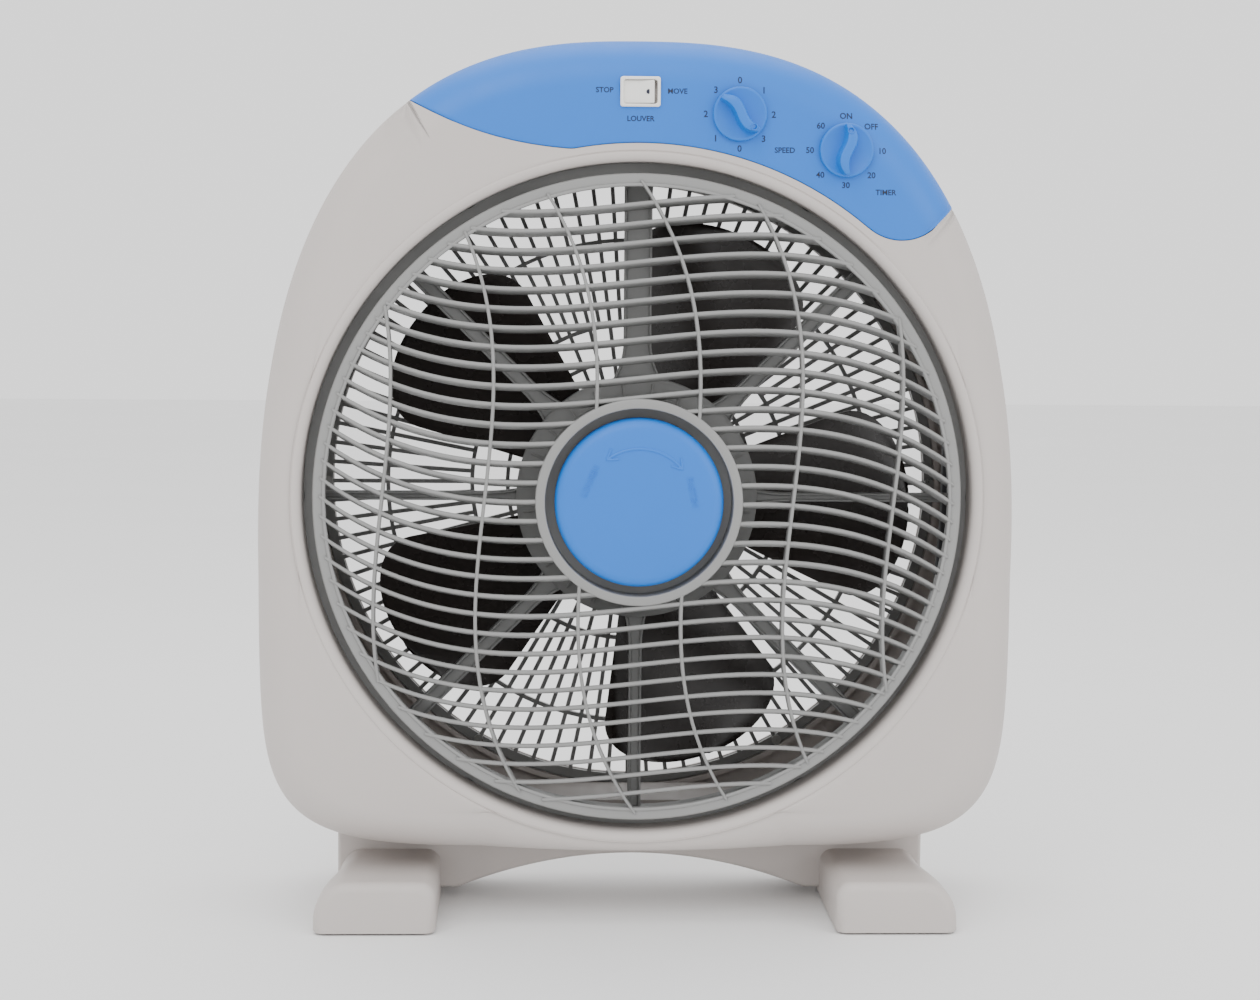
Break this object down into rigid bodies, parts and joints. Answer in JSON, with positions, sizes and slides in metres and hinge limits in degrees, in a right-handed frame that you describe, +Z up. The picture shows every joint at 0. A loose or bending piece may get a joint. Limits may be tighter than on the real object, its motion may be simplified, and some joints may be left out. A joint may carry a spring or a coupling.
{
  "type": "box fan",
  "caption": "Free-standing box fan with a rotating louvre grille in front of the blades, a control panel on top and feet below.",
  "frame": {"origin": "on the floor, under the middle of the fan's width and of the feet's length", "axes": "+Z up, the front faces -Y, +X to the right seen from the front; the fan's axis runs along Y"},
  "size_m": [0.444, 0.176, 0.513],
  "materials": {
    "housing_grey": "fine-textured warm light grey",
    "panel_blue": "satin mid blue",
    "grille_grey": "neutral mid grey",
    "blade_brown": "semi-gloss brown-black",
    "steel": "zinc plated",
    "cast_shield": "die cast",
    "lamination": "stacked sheets",
    "copper_wire": "enamelled copper",
    "bronze": "sintered bronze",
    "dark_plastic": "moulded black",
    "rubber_black": "matt rubber",
    "lead_sheath": "grey PVC",
    "switch_white": "gloss white"
  },
  "bodies": {
    "housing": {"front_housing": "housing_grey", "rear_housing": "housing_grey", "control_panel": "panel_blue", "rear_grille": "grille_grey", "front_bracket": "grille_grey", "foot_left": "housing_grey", "foot_right": "housing_grey", "foot_pads": "rubber_black", "housing_screws": "steel", "bracket_screws": "steel", "grille_screws": "steel", "motor_screws": "steel", "panel_screws": "steel", "foot_screws": "steel", "motor_plate": "cast_shield", "motor_front_shield": "cast_shield", "motor_rear_shield": "cast_shield", "stator_core": "lamination", "stator_windings": "copper_wire", "front_bearing": "bronze", "rear_bearing": "bronze", "run_capacitor": "dark_plastic", "louvre_motor": "steel", "louvre_motor_screws": "steel", "speed_switch": "dark_plastic", "timer_body": "dark_plastic", "rocker_body": "switch_white", "cable_gland": "rubber_black", "wiring_loom": "lead_sheath"},
    "fan": {"fan_blade": "blade_brown", "blade_pin": "steel", "blade_nut": "blade_brown", "motor_shaft": "steel", "motor_rotor": "lamination"},
    "louvre": {"louvre_grille": "grille_grey", "louvre_drive_hub": "grille_grey", "louvre_output_shaft": "steel"},
    "clamp_ring": {"clamp_washer": "steel"},
    "cap": {"clamp_cap": "panel_blue"},
    "speed_dial": {"speed_knob": "panel_blue", "speed_spindle": "steel"},
    "timer_dial": {"timer_knob": "panel_blue", "timer_spindle": "steel"},
    "rocker": {"rocker_button": "switch_white"}
  },
  "joints": [
    {"name": "fan_spin", "type": "hinge", "parent": "housing", "child": "fan", "pos_m": [0, 0, 0.248], "axis": [0, 1, 0], "continuous": true},
    {"name": "louvre_spin", "type": "hinge", "parent": "housing", "child": "louvre", "pos_m": [0, 0, 0.248], "axis": [0, 1, 0], "continuous": true},
    {"name": "clamp_travel", "type": "slide", "parent": "louvre", "child": "clamp_ring", "axis": [0, -1, 0], "range_m": [0, 0.0046]},
    {"name": "cap_turn", "type": "hinge", "parent": "clamp_ring", "child": "cap", "pos_m": [0, 0, 0.248], "axis": [0, -1, 0], "range_deg": [0, 540]},
    {"name": "speed_turn", "type": "hinge", "parent": "housing", "child": "speed_dial", "pos_m": [0.0558, 0, 0.468], "axis": [0, 1, 0], "continuous": true},
    {"name": "timer_turn", "type": "hinge", "parent": "housing", "child": "timer_dial", "pos_m": [0.1166, 0, 0.4482], "axis": [0, 1, 0], "range_deg": [0, 315]},
    {"name": "rocker_press", "type": "hinge", "parent": "housing", "child": "rocker", "pos_m": [-0.0006, -0.061, 0.48], "axis": [0, 0, 1], "range_deg": [0, 22]}
  ],
  "couplings": [
    {"joint": "clamp_travel", "follows": "cap_turn", "m_per_rad": 0.00047746}
  ]
}
